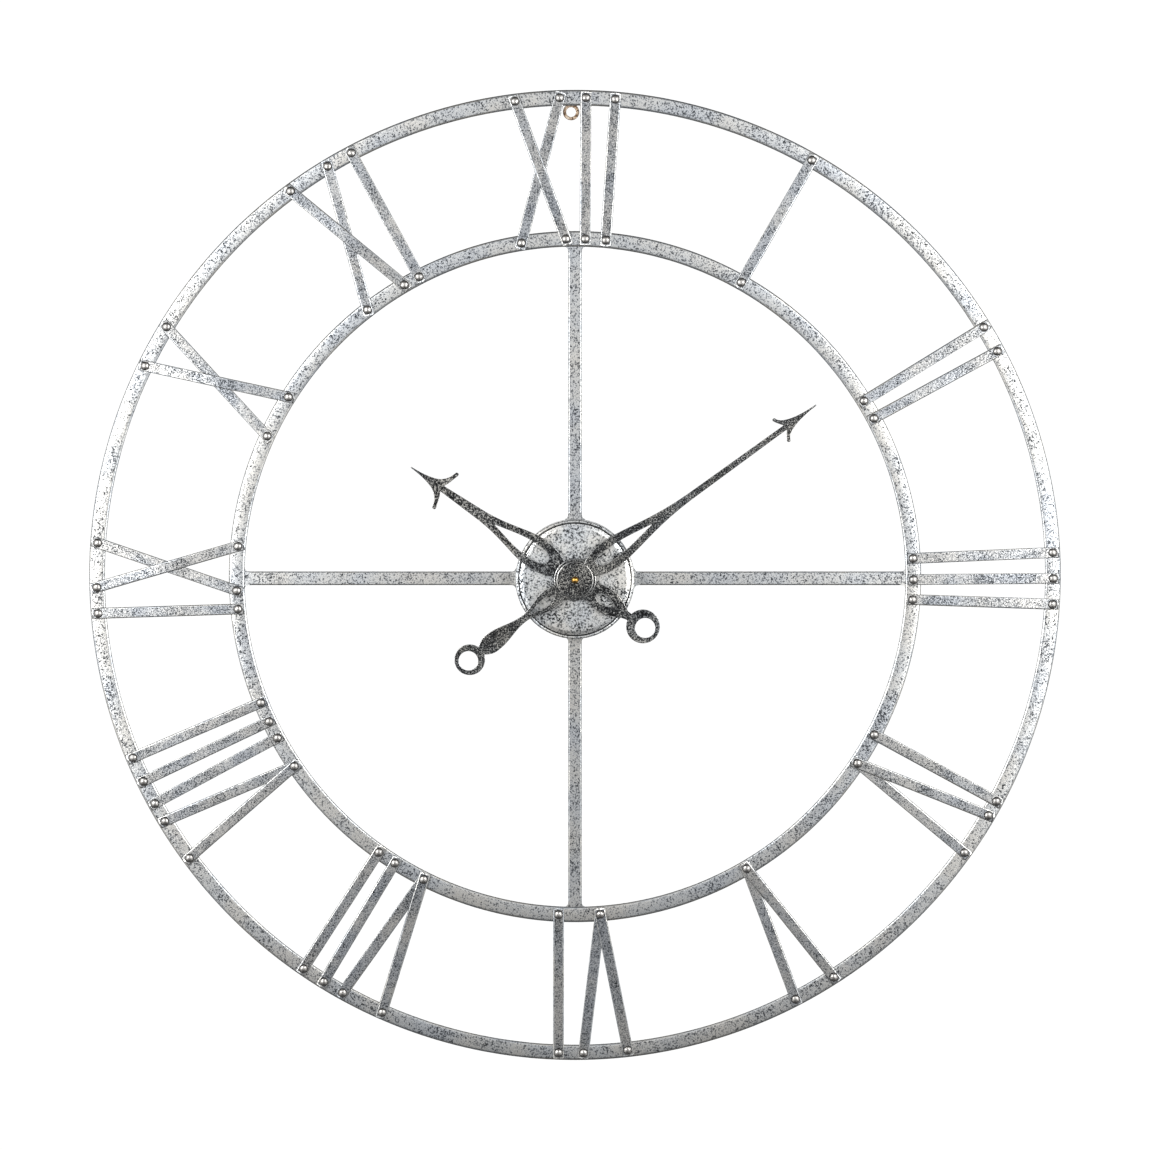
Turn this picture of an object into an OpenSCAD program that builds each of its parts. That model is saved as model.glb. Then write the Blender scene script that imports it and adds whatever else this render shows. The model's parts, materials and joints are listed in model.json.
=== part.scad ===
// Open-frame wall clock: two steel hoops carry riveted Roman numerals, four spokes hold
// a hub cup, and a battery movement inside the cup drives two pierced hands.
// The dial faces -Y and twelve o'clock is +Z. The origin is on the hands' axis, midway
// between the wall and the front of the hands. Each module draws its piece lying on the
// wall, with X to the right, Y towards twelve and Z away from the wall; upright() then
// stands it in place.

/* [Hoops] */
// Outer diameter of the outer hoop, which is the clock's height and width
outer_d = 800; // [660:1:960]
// Outer diameter of the inner hoop
inner_d = 570; // [470:1:690]
// Width of both hoops across their face
hoop_w = 13; // [12:0.1:16]
// Thickness of both hoops
hoop_t = 3; // [2:0.1:4]
// Width of the rounded edges along the front of both hoops
edge_w = 2.2; // [0.5:0.1:3]
// Height of those rounded edges
edge_h = 1.2; // [0.5:0.1:1.5]
// Gap between the wall and the back of the hoops
wall_gap = 4; // [3.5:0.1:5]

/* [Numerals] */
// Width of a numeral bar
bar_w = 9; // [7.5:0.1:11]
// Thickness of a numeral bar
bar_t = 1.5; // [1.2:0.1:2]
// Distance from the middle of an X or a V to the rivet in its foot
letter_half = 18.3; // [15:0.1:22]
// Length of a bar beyond the centre of its rivet
bar_end = 5; // [4:0.1:5.5]
// Length of the slope where a bar steps over another
bar_ramp = 6; // [4:0.5:10]

/* [Rivets] */
// Diameter of the domed rivet head
rivet_head_d = 7.5; // [6.5:0.1:9]
// Height of the domed rivet head
rivet_head_h = 2.4; // [1.8:0.1:3]
// Diameter of the rivet shank
rivet_d = 4; // [3:0.1:5]
// Diameter of the flat tail behind the hoop
rivet_tail_d = 6; // [5.4:0.1:7]
// Thickness of the flat tail
rivet_tail_t = 1; // [0.8:0.1:1.5]
// Gap around a rivet shank in its hole
rivet_gap = 0.1; // [0.05:0.05:0.2]

/* [Spokes] */
// Width of a spoke
spoke_w = 11.3; // [9:0.1:14]
// Width that the weld adds to a spoke at each end, on each side
spoke_flare = 2.5; // [1:0.1:4]

/* [Hub] */
// Outside diameter of the hub cup
hub_d = 97.6; // [94:0.1:120]
// Depth of the hub cup from the wall to the top of its bead
hub_depth = 24; // [23.5:0.1:30]
// Thickness of the hub cup's side wall
hub_wall = 1.5; // [1.2:0.1:2]
// Thickness of the hub cup's face
hub_face_t = 1.5; // [1.2:0.1:2]
// Diameter of the bead round the hub's rim
bead_d = 2.8; // [2.4:0.1:3.2]
// Height of the bead above the hub's face
bead_rise = 0.6; // [0.4:0.1:1]
// Width of the sloping band between the bead and the flat face
cove_w = 4; // [2:0.1:6]
// Depth of the groove inside the bead, below the face
cove_drop = 0.7; // [0.3:0.1:1]

/* [Hanging eye] */
// Diameter of the hole that hangs on the wall hook
eye_hole_d = 8; // [6:0.1:9]
// Outside diameter of the eye
eye_d = 13.4; // [11:0.1:15]
// Distance of the hole's centre below the inner edge of the outer hoop
eye_drop = 5; // [4.5:0.1:8]
// Distance of the eye to the left of twelve o'clock
eye_left = 3.2; // [2:0.1:4]
// Thickness of the eye
eye_t = 2.5; // [2:0.1:3]

/* [Hands] */
// Reach of the minute hand from its axis to its tip
minute_reach = 243; // [220:1:290]
// Reach of the hour hand from its axis to its tip
hour_reach = 162.4; // [140:0.1:195]
// Thickness of the hands' sheet steel
hand_t = 1; // [0.8:0.1:1.4]
// Diameter of the boss on the minute hand
minute_boss_d = 30.6; // [24:0.1:32]
// Diameter of the boss on the hour hand
hour_boss_d = 34.6; // [26:0.1:36]
// Thickness of each boss
boss_t = 0.9; // [0.6:0.1:1.2]
// Clock time shown, hours
shown_hour = 10; // [1:1:12]
// Clock time shown, minutes
shown_minute = 9; // [0:1:59]

/* [Movement] */
// Width and height of the movement's case
case_w = 56; // [55:0.5:57]
// Depth of the movement, with its rear cover
case_d = 16; // [15.8:0.1:17]
// Thickness of the case walls
case_wall = 1.5; // [1.2:0.1:1.6]
// Thickness of the rear cover
cover_t = 1.2; // [1:0.1:1.5]
// Diameter of the threaded mounting bush
bush_d = 8; // [7.6:0.1:10]
// Diameter of the rubber gasket behind the hub's face
gasket_d = 37; // [30:0.5:50]
// Thickness of the gasket
gasket_t = 1; // [0.6:0.1:1.5]
// Diameter of the brass washer under the nut
washer_d = 14; // [13:0.1:20]
// Thickness of the washer
washer_t = 0.5; // [0.4:0.1:1]
// Thickness of the mounting nut
nut_t = 2.2; // [1.8:0.1:3]
// Width of the mounting nut across its flats
nut_af = 11; // [10.8:0.1:13]
// Outside diameter of the hour wheel's tube
tube_d = 5.1; // [4.9:0.1:5.4]
// Diameter of the minute arbor
arbor_d = 3.2; // [3:0.1:3.4]
// Radial gap of every shaft in its bearing
run_gap = 0.07; // [0.05:0.01:0.1]
// Diameter of the battery
battery_d = 14.5; // [14:0.1:14.5]
// Length of the battery with its positive button
battery_l = 50.5; // [49:0.1:50.5]

/* [Hidden] */
$fn = 96;
turn = 360;
hour_step = 30;
// Clearance between pieces that sit in one another, gap that lets a wheel turn on its
// plate, and how far a cut runs past the face that it opens.
snug = 0.3;
end_play = 0.1;
eps = 1;

// Roman numerals, one row an hour: its letters, each with the angles in degrees,
// clockwise from the hour's own mark, of the letter's middle at the outer and the
// inner hoop. They stand off their marks a little, as on a clock made by hand.
numerals = [
  [["I", -0.5, -0.7]],
  [["I", -1.6, -1.6], ["I", 1.7, 1.8]],
  [["I", -3.1, -3.4], ["I", 0, 0.2], ["I", 3.1, 3.6]],
  [["I", -2.1, -2.4], ["V", 2.5, 3.2]],
  [["V", -0.3, -0.6]],
  [["V", -3.7, -4.3], ["I", 2, 2.8]],
  [["V", -3.4, -3.3], ["I", 1.9, 2.3], ["I", 4.8, 5.6]],
  [["V", -3.3, -3.8], ["I", 1.8, 1.8], ["I", 4.8, 4.9], ["I", 7.9, 8.4]],
  [["I", -4.2, -5.2], ["X", 1.6, 1.7]],
  [["X", -1, -1.4]],
  [["X", -3.6, -3.9], ["I", 2.3, 2.7]],
  [["X", -4.5, -5.3], ["I", 1.3, 1.7], ["I", 4.8, 5.2]]
];
hours = [1:12];
straight_hours = [for (hour = hours) if (len(letters(hour, "I")) > 0) hour];
vee_hours = [for (hour = hours) if (len(letters(hour, "V")) > 0) hour];
cross_hours = [for (hour = hours) if (len(letters(hour, "X")) > 0) hour];

// Hoops and rivet circles.
outer_r = outer_d / 2;
inner_r = inner_d / 2;
outer_hole_r = outer_r - hoop_w;
inner_hole_r = inner_r - hoop_w;
outer_pitch_r = outer_r - hoop_w / 2;
inner_pitch_r = inner_r - hoop_w / 2;
hoop_front = wall_gap + hoop_t;
bar_front = hoop_front + bar_t;
rivet_hole_r = rivet_d / 2 + rivet_gap;

// Hub, from the wall forwards.
hub_r = hub_d / 2;
bead_r = bead_d / 2;
face_front = hub_depth - bead_rise;
face_back = face_front - hub_face_t;
bush_hole_r = bush_d / 2 + snug / 2;

// Movement case, from its rear cover forwards.
case_front = face_back - gasket_t;
case_back = case_front - case_d;
cover_front = case_back + cover_t;
chamber_front = case_front - case_wall;
chamber_half = case_w / 2 - case_wall;
bay_wall = 1.2;
bay_low = bay_wall - case_w / 2;
bay_high = bay_low + battery_d + 2 * snug;
chamber_low = bay_high + case_wall;
battery_y = (bay_low + bay_high) / 2;
battery_z = case_back + snug + battery_d / 2;
bay_front = battery_z + battery_d / 2 + snug;
plate_t = 0.5;
plate_back = case_back + 5.1;
plate_front = plate_back + plate_t;
post_r = 1.5;
post_inset = 2;
button_r = 2.7;
button_l = 1.3;

// Hands and shafts, from the hub's face forwards.
washer_front = face_front + washer_t;
nut_front = washer_front + nut_t;
bush_front = nut_front + 0.5;
hour_back = bush_front + 0.8;
hour_front = hour_back + hand_t;
hour_boss_front = hour_front + boss_t;
tube_front = hour_boss_front - 0.2;
minute_back = hour_boss_front + 1;
minute_front = minute_back + hand_t;
minute_boss_front = minute_front + boss_t;
cap_t = 1.8;
cap_r = 3;
overall_depth = minute_boss_front + cap_t;
tube_r = tube_d / 2;
tube_bore_r = arbor_d / 2 + run_gap;
arbor_r = arbor_d / 2;
minute_angle = shown_minute * 6;
hour_angle = (shown_hour + shown_minute / 60) * hour_step;

// Wheels: module, teeth and back face of each mesh. The motion work turns the hour
// tube once in twelve turns of the arbor: 36/12 x 40/10. The train turns the centre
// wheel once in 1800 turns of the rotor: 90/6 x 96/8 x 80/8.
motion_mod = 0.45;
cannon_teeth = 12;
motion_teeth = 36;
hour_mod = motion_mod * (cannon_teeth + motion_teeth) / (10 + 40);
motion_pinion_teeth = 10;
hour_teeth = 40;
train_mod = 0.2;
centre_mod = 0.225;
rotor_teeth = 6;
middle_teeth = 90;
train_pinion_teeth = 8;
third_teeth = 96;
centre_teeth = 80;
wheel_t = 0.8;
pinion_t = 1.2;
motion_pinion_l = 3.2;
stem_r = 0.75;
stem_out = 1.6;
knob_t = 2.2;
fine_arbor_r = 0.4;
pivot_depth = 0.5;
middle_z = case_back + 2.4;
third_z = case_back + 4;
centre_z = plate_front + 0.3;
motion_z = centre_z + 2.3;
hour_wheel_z = motion_z + 3;

// Arbor places, seen from the front, and the directions from one to the next.
motion_turn = 0;
third_turn = 140;
middle_turn = 75;
rotor_turn = -15;
motion_at = along([0, 0], motion_turn, motion_mod * (cannon_teeth + motion_teeth) / 2);
third_at = along([0, 0], third_turn, centre_mod * (centre_teeth + train_pinion_teeth) / 2);
middle_at = along(third_at, middle_turn, train_mod * (third_teeth + train_pinion_teeth) / 2);
rotor_at = along(middle_at, rotor_turn, train_mod * (middle_teeth + rotor_teeth) / 2);

// Stepping motor.
magnet_r = 2.6;
magnet_t = 3;
stator_t = 1;
stator_z = plate_front + 3.4;
magnet_z = stator_z + stator_t / 2 - magnet_t / 2;
stator_gap = 0.5;
core_w = 2.4;
core_y = chamber_half - post_inset - post_r - snug - core_w / 2;
coil_r = 3.2;
coil_from = 9;
coil_to = 22;

// A point at a distance from another, in a direction counted anticlockwise from +X.
function along(from, direction, distance) = from + distance * [cos(direction), sin(direction)];

// A point at a radius, at an angle counted clockwise from twelve o'clock.
function on_dial(radius, angle) = [radius * sin(angle), radius * cos(angle)];

// The letters of one kind in an hour's numeral.
function letters(hour, kind) = [for (letter = numerals[hour - 1]) if (letter[0] == kind) letter];

// Rivet centres of a letter: its middle, or its foot on one side (-1 left, 1 right).
function outer_point(hour, letter, side = 0) =
  on_dial(outer_pitch_r, hour * hour_step + letter[1] + side * atan(letter_half / outer_pitch_r));
function inner_point(hour, letter, side = 0) =
  on_dial(inner_pitch_r, hour * hour_step + letter[2] + side * atan(letter_half / inner_pitch_r));

// Points along a cubic curve with the given ends and handles.
function curve(start, handle_a, handle_b, end, steps = 10) = [
  for (i = [0:steps])
    let (t = i / steps, s = 1 - t)
      s * s * s * start + 3 * s * s * t * handle_a + 3 * s * t * t * handle_b + t * t * t * end
];

// The same points below the axis, in reverse order, to close an outline.
function mirrored(points) = [for (i = [len(points) - 1:-1:0]) [points[i][0], -points[i][1]]];

// Stands a piece drawn on the wall upright in its place.
module upright() {
  translate([0, overall_depth / 2, 0])
    rotate([90, 0, 0])
      children();
}

module disc(radius, back, front) {
  translate([0, 0, back])
    cylinder(r = radius, h = front - back);
}

module at(point) {
  translate([point[0], point[1], 0])
    children();
}

// ---- Hoops, spokes, hub and eye ----

// A hoop is a flat strap rolled to a circle, with its two front edges rounded.
module hoop(radius, rivet_points) {
  low = wall_gap;
  top = hoop_front;
  half = hoop_w / 2;
  steps = 4;
  rounded = [
    for (i = [0:steps])
      let (angle = i * 90 / steps)
        [half - edge_w + edge_w * cos(angle), top - edge_h + edge_h * sin(angle)]
  ];
  section = concat([[half, low]], rounded);
  color("darkgray")
    upright()
      difference() {
        rotate_extrude()
          translate([radius - half, 0])
            polygon(concat(
              section,
              [for (i = [len(section) - 1:-1:0]) [-section[i][0], section[i][1]]]
            ));
        for (point = rivet_points)
          at(point)
            disc(rivet_hole_r, low - eps, top + eps);
      }
}

// Rivet places on the outer hoop, and on the inner hoop where one or two bars meet.
outer_points = [
  for (hour = hours, letter = numerals[hour - 1])
    each letter[0] == "I"
      ? [outer_point(hour, letter)]
      : [outer_point(hour, letter, -1), outer_point(hour, letter, 1)]
];
inner_points = [
  for (hour = hours, letter = numerals[hour - 1])
    if (letter[0] != "V")
      each letter[0] == "I"
        ? [inner_point(hour, letter)]
        : [inner_point(hour, letter, -1), inner_point(hour, letter, 1)]
];
vee_points = [for (hour = vee_hours, letter = letters(hour, "V")) inner_point(hour, letter)];

module outer_hoop() {
  hoop(outer_r, outer_points);
}

module inner_hoop() {
  hoop(inner_r, concat(inner_points, vee_points));
}

// A spoke runs from the hub's wall to the inner hoop, and widens where it is welded.
module spoke(angle) {
  half = spoke_w / 2;
  wide = half + spoke_flare;
  start = hub_r - hub_wall;
  end = inner_hole_r + hoop_w / 2;
  flare_l = 2 * spoke_flare;
  near = flare_l * 0.2;
  far = flare_l * 0.4;
  outline = concat(
    [[start, wide], [hub_r, wide]],
    curve([hub_r, wide], [hub_r + near, half], [hub_r + far, half], [hub_r + flare_l, half], 5),
    curve(
      [inner_hole_r - flare_l, half], [inner_hole_r - far, half],
      [inner_hole_r - near, half], [inner_hole_r, wide], 5
    ),
    [[end, wide]]
  );
  color("darkgray")
    upright()
      rotate([0, 0, 90 - angle])
        difference() {
          intersection() {
            translate([0, 0, wall_gap])
              linear_extrude(hoop_t)
                polygon(concat(outline, mirrored(outline)));
            disc(inner_hole_r, wall_gap - eps, hoop_front + eps);
          }
          disc(hub_r, wall_gap - eps, hoop_front + eps);
        }
}

// The hub is a spun cup: a side wall, a beaded rim and a face inside a shallow groove.
module hub_cup() {
  bead_at = hub_r - bead_r;
  groove_r = hub_r - bead_d;
  flat_r = groove_r - cove_w;
  bead = [
    for (i = [0:8])
      let (angle = i * 180 / 8)
        [bead_at + bead_r * cos(angle), hub_depth - bead_r + bead_r * sin(angle)]
  ];
  color("lightgray")
    upright()
      difference() {
        rotate_extrude()
          polygon(concat(
            [[hub_r - hub_wall, 0], [hub_r, 0]],
            bead,
            [
              [groove_r, face_front - cove_drop],
              [groove_r - cove_w / 2, face_front - cove_drop / 3],
              [flat_r, face_front],
              [0, face_front],
              [0, face_back],
              [flat_r, face_back],
              [hub_r - hub_wall, face_back - cove_drop]
            ]
          ));
        disc(bush_hole_r, face_back - eps, face_front + eps);
      }
}

// The hanging eye is a flat lug welded behind the outer hoop.
module hanging_eye() {
  tongue_w = eye_d * 2 / 3;
  tongue_top = outer_hole_r + hoop_w * 0.7;
  centre_y = outer_hole_r - eye_drop;
  color("saddlebrown")
    upright()
      translate([-eye_left, 0, wall_gap - eye_t])
        linear_extrude(eye_t)
          difference() {
            union() {
              translate([0, centre_y])
                circle(r = eye_d / 2);
              translate([-tongue_w / 2, centre_y])
                square([tongue_w, tongue_top - centre_y]);
            }
            translate([0, centre_y])
              circle(r = eye_hole_d / 2);
          }
}

// ---- Rivets ----

// A rivet has a domed head in front, a shank through the stack and a flat tail behind.
module rivets(points, stack_front) {
  head_r = rivet_head_d / 2;
  dome_r = (head_r * head_r + rivet_head_h * rivet_head_h) / (2 * rivet_head_h);
  color("silver")
    upright()
      for (point = points)
        at(point) {
          intersection() {
            translate([0, 0, stack_front + rivet_head_h - dome_r])
              sphere(r = dome_r);
            disc(head_r + eps, stack_front, stack_front + rivet_head_h + eps);
          }
          disc(rivet_d / 2, wall_gap, stack_front);
          disc(rivet_tail_d / 2, wall_gap - rivet_tail_t, wall_gap);
        }
}

module outer_rivets() {
  rivets(outer_points, bar_front);
}

module inner_rivets() {
  rivets(inner_points, bar_front);
}

module vee_rivets() {
  rivets(vee_points, bar_front + bar_t);
}

// ---- Numeral bars ----

// A bar from its inner rivet to its outer rivet. It is raised by one thickness between
// raised_from and raised_to, with a slope outside each, to pass over another bar.
module bar(inner, outer, raised_from = 0, raised_to = 0) {
  run = outer - inner;
  length = norm(run);
  raise = raised_to > raised_from ? bar_t : 0;
  first = max(raised_from - bar_ramp, -bar_end);
  underside = raise == 0
    ? [[-bar_end, 0], [length + bar_end, 0]]
    : concat(
        raised_from > 0 ? [[-bar_end, 0], [first, 0], [raised_from, raise]] : [[-bar_end, raise]],
        [[raised_to, raise], [raised_to + bar_ramp, 0], [length + bar_end, 0]]
      );
  topside = [for (i = [len(underside) - 1:-1:0]) underside[i] + [0, bar_t]];
  color("gray")
    upright()
      translate([inner[0], inner[1], hoop_front])
        rotate([0, 0, atan2(run[1], run[0])])
          difference() {
            translate([0, bar_w / 2, 0])
              rotate([90, 0, 0])
                linear_extrude(bar_w)
                  polygon(concat(underside, topside));
            for (along_bar = [0, length])
              translate([along_bar, 0, 0])
                disc(rivet_hole_r, -eps, 2 * bar_t + eps);
          }
}

// Half the length over which two bars that cross at an angle lie on each other.
function half_overlap(angle) = bar_w / 2 / tan(angle / 2) + end_play;

module straight_bars(hour) {
  for (letter = letters(hour, "I"))
    bar(inner_point(hour, letter), outer_point(hour, letter));
}

// Both bars of a V share the rivet at its apex. The left bar lies on the right one.
module vee_bar(hour, side) {
  letter = letters(hour, "V")[0];
  apex = inner_point(hour, letter);
  left = outer_point(hour, letter, -1) - apex;
  right = outer_point(hour, letter, 1) - apex;
  between = acos(left * right / norm(left) / norm(right));
  bar(apex, outer_point(hour, letter, side), 0, side < 0 ? half_overlap(between) : 0);
}

// The two bars of an X cross halfway. The one that starts lower left passes over.
module cross_bar(hour, side) {
  letter = letters(hour, "X")[0];
  inner = inner_point(hour, letter, -side);
  outer = outer_point(hour, letter, side);
  other = outer_point(hour, letter, -side) - inner_point(hour, letter, side);
  run = outer - inner;
  between = acos(run * other / norm(run) / norm(other));
  middle = norm(run) / 2;
  reach = half_overlap(between);
  bar(inner, outer, side < 0 ? middle - reach : 0, side < 0 ? middle + reach : 0);
}

// ---- Gasket, washer and nut ----

// The gasket seats the movement on the back of the hub's face.
module hub_gasket() {
  color("dimgray")
    upright()
      difference() {
        disc(gasket_d / 2, case_front, face_back);
        disc(bush_hole_r, case_front - eps, face_back + eps);
      }
}

module bush_washer() {
  color("goldenrod")
    upright()
      difference() {
        disc(washer_d / 2, face_front, washer_front);
        disc(bush_hole_r, face_front - eps, washer_front + eps);
      }
}

module mounting_nut() {
  color("goldenrod")
    upright()
      difference() {
        translate([0, 0, washer_front])
          cylinder(r = nut_af / 2 / cos(30), h = nut_t, $fn = 6);
        disc(bush_d / 2 + run_gap, washer_front - eps, nut_front + eps);
      }
}

// ---- Movement case ----

// The case is a box open at the back: a wheel chamber with four posts, and a battery bay
// below it. Its front carries the bush and the arbors' front bearings.
module movement_case() {
  half = case_w / 2;
  color("dimgray")
    upright()
      difference() {
        union() {
          difference() {
            translate([-half, -half, case_back])
              cube([case_w, case_w, case_d]);
            translate([-chamber_half, chamber_low, case_back - eps])
              cube([2 * chamber_half, chamber_half - chamber_low, chamber_front - case_back + eps]);
            translate([-half - eps, bay_high, case_back - eps])
              cube([case_w + 2 * eps, case_w, cover_t + eps]);
            translate([-chamber_half, bay_low, case_back - eps])
              cube([2 * chamber_half, bay_high - bay_low, bay_front - case_back + eps]);
          }
          disc(bush_d / 2, case_front - eps, bush_front);
          for (x = [-1, 1], y = [chamber_low + post_inset, chamber_half - post_inset])
            translate([x * (chamber_half - post_inset), y, 0])
              disc(post_r, plate_front, chamber_front + eps / 2);
        }
        disc(tube_r + run_gap, chamber_front - eps, bush_front + eps);
        for (point = [third_at, middle_at, rotor_at])
          at(point)
            disc(fine_arbor_r + run_gap, chamber_front - eps, chamber_front + pivot_depth + run_gap);
        at(motion_at)
          disc(stem_r + run_gap, chamber_front - eps, chamber_front + pivot_depth + run_gap);
      }
}

// The train plate sits on the case's posts and carries the rear end of the arbor.
module train_plate() {
  color("beige")
    upright()
      difference() {
        translate([-chamber_half + snug, chamber_low + snug, plate_back])
          cube([2 * (chamber_half - snug), chamber_half - chamber_low - 2 * snug, plate_t]);
        disc(stem_r + run_gap, plate_back - eps, plate_front + eps);
        for (point = [third_at, middle_at, rotor_at])
          at(point)
            disc(fine_arbor_r + run_gap, plate_back - eps, plate_front + eps);
        at(motion_at)
          disc(stem_r + run_gap, plate_back - eps, plate_front + eps);
      }
}

// The rear cover closes the wheel chamber and leaves the battery bay open.
module rear_cover() {
  color("black")
    upright()
      difference() {
        translate([-case_w / 2, bay_high, case_back])
          cube([case_w, case_w / 2 - bay_high, cover_t]);
        for (point = [third_at, middle_at, rotor_at])
          at(point)
            disc(fine_arbor_r + run_gap, cover_front - pivot_depth - run_gap, cover_front + eps);
        at(motion_at)
          disc(stem_r + run_gap, case_back - eps, cover_front + eps);
      }
}

// The knob is pressed on the stem of the motion wheel, and has a notched rim.
module setting_knob() {
  knob_r = 5.5;
  grip_r = 0.9;
  grips = 12;
  floor_t = 0.6;
  front = case_back - 2 * end_play;
  back = front - knob_t;
  color("red")
    upright()
      at(motion_at)
        difference() {
          disc(knob_r, back, front);
          for (i = [0:grips - 1])
            at(along([0, 0], i * turn / grips, knob_r + grip_r / 3))
              disc(grip_r, back - eps, front + eps);
          disc(stem_r, back + floor_t, front + eps);
        }
}

// ---- Battery, contacts and circuit ----

// An AA cell: its can and the positive button.
module battery() {
  can_l = battery_l - button_l;
  color("darkorange")
    upright()
      translate([-battery_l / 2, battery_y, battery_z])
        rotate([0, 90, 0]) {
          cylinder(r = battery_d / 2, h = can_l);
          cylinder(r = button_r, h = battery_l);
        }
}

// Each contact is a bent strip that presses on one end of the battery.
module battery_contacts() {
  strip_t = 0.3;
  strip_w = 8;
  strip_half_l = 5;
  bend_at = 2;
  nose = 1;
  wall_x = chamber_half;
  end_x = battery_l / 2 + end_play;
  strip = [
    [wall_x, -strip_half_l],
    [wall_x, -bend_at],
    [end_x + strip_t, -nose],
    [end_x + strip_t, nose],
    [wall_x, bend_at],
    [wall_x, strip_half_l],
    [wall_x - strip_t, strip_half_l],
    [wall_x - strip_t, bend_at],
    [end_x, nose],
    [end_x, -nose],
    [wall_x - strip_t, -bend_at],
    [wall_x - strip_t, -strip_half_l]
  ];
  color("silver")
    upright()
      for (side = [0, 1])
        mirror([side, 0, 0])
          translate([0, battery_y + strip_w / 2, battery_z])
            rotate([90, 0, 0])
              linear_extrude(strip_w)
                polygon(strip);
}

// The board carries the driver chip and the crystal's can.
module circuit_board() {
  board_t = 0.8;
  board_z = case_back + 2;
  board_x = 14;
  board_low = chamber_low + snug;
  board_l = 17;
  inset = 2;
  chip = 4;
  chip_t = 0.9;
  crystal_x = 9;
  crystal_r = 0.9;
  crystal_l = 6;
  color("darkgreen")
    upright() {
      translate([board_x, board_low, board_z])
        cube([chamber_half - snug - board_x, board_l, board_t]);
      translate([board_x + inset, board_low + inset, board_z + board_t])
        cube([chip, chip, chip_t]);
      translate([board_x + crystal_x, board_low + inset, board_z + board_t + crystal_r])
        rotate([-90, 0, 0])
          cylinder(r = crystal_r, h = crystal_l);
    }
}

// ---- Stepping motor ----

// The stator is one flat plate round the rotor, with a core that the coil is wound on.
module motor_stator() {
  ring_r = magnet_r + stator_gap + 1.4;
  leg_w = 3;
  leg_x = rotor_at[0] - leg_w / 2;
  end_x = coil_to + core_w + 1;
  color("gray")
    upright()
      translate([0, 0, stator_z])
        linear_extrude(stator_t)
          difference() {
            union() {
              translate(rotor_at)
                circle(r = ring_r);
              translate([leg_x, rotor_at[1]])
                square([leg_w, core_y + core_w / 2 - rotor_at[1]]);
              translate([leg_x, core_y - core_w / 2])
                square([end_x - leg_x, core_w]);
              translate([rotor_at[0], rotor_at[1] - leg_w / 2])
                square([end_x - rotor_at[0], leg_w]);
              translate([end_x - core_w, rotor_at[1] - leg_w / 2])
                square([core_w, core_y - rotor_at[1] + leg_w / 2]);
            }
            translate(rotor_at)
              circle(r = magnet_r + stator_gap);
          }
}

module motor_coil() {
  slack = end_play;
  coil_z = stator_z + stator_t / 2;
  flange = 2 * coil_r + 0.4;
  flange_t = 0.8;
  color("peru")
    upright()
      difference() {
        union() {
          translate([coil_from, core_y, coil_z])
            rotate([0, 90, 0])
              cylinder(r = coil_r, h = coil_to - coil_from);
          for (x = [coil_from, coil_to - flange_t])
            translate([x, core_y - flange / 2, coil_z - flange / 2])
              cube([flange_t, flange, flange]);
        }
        translate([coil_from - eps, core_y - core_w / 2 - slack, stator_z - slack])
          cube([coil_to - coil_from + 2 * eps, core_w + 2 * slack, stator_t + 2 * slack]);
      }
}

// ---- Wheels ----

// A flat gear outline. One tooth points along phase; share is the tooth's part of the
// pitch, and the rest leaves room for the mating tooth.
module teeth_outline(mod, teeth, phase, share = 0.4) {
  pitch_r = mod * teeth / 2;
  tip_r = pitch_r + 0.8 * mod;
  root_r = pitch_r - 1.15 * mod;
  pitch_angle = turn / teeth;
  root_half = pitch_angle * share * 0.7;
  mid_half = pitch_angle * share * 0.5;
  tip_half = pitch_angle * share * 0.25;
  polygon([
    for (i = [0:teeth - 1])
      let (middle = phase + i * pitch_angle)
        each [
          along([0, 0], middle - root_half, root_r),
          along([0, 0], middle - mid_half, pitch_r),
          along([0, 0], middle - tip_half, tip_r),
          along([0, 0], middle + tip_half, tip_r),
          along([0, 0], middle + mid_half, pitch_r),
          along([0, 0], middle + root_half, root_r)
        ]
  ]);
}

module gear(mod, teeth, phase, back, thick) {
  translate([0, 0, back])
    linear_extrude(thick)
      teeth_outline(mod, teeth, phase);
}

// The phase that puts a gap opposite a tooth that points along direction.
function meshed(direction, teeth) = direction + 180 + turn / teeth / 2;

// A thin arbor with a pivot in the cover and one in the case.
module fine_arbor() {
  disc(fine_arbor_r, cover_front - pivot_depth, chamber_front + pivot_depth);
}

module motor_rotor() {
  color("dimgray")
    upright()
      at(rotor_at) {
        fine_arbor();
        disc(magnet_r, magnet_z, magnet_z + magnet_t);
        gear(
          train_mod, rotor_teeth, meshed(rotor_turn, rotor_teeth),
          middle_z - 2 * end_play, pinion_t
        );
      }
}

module middle_wheel() {
  color("white")
    upright()
      at(middle_at) {
        fine_arbor();
        gear(train_mod, middle_teeth, rotor_turn, middle_z, wheel_t);
        gear(
          train_mod, train_pinion_teeth, meshed(middle_turn, train_pinion_teeth),
          middle_z + wheel_t, plate_back - middle_z - wheel_t - 2 * end_play
        );
      }
}

module third_wheel() {
  color("white")
    upright()
      at(third_at) {
        fine_arbor();
        gear(train_mod, third_teeth, middle_turn, third_z, wheel_t);
        gear(
          centre_mod, train_pinion_teeth, meshed(third_turn, train_pinion_teeth),
          plate_front + end_play, pinion_t
        );
      }
}

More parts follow.
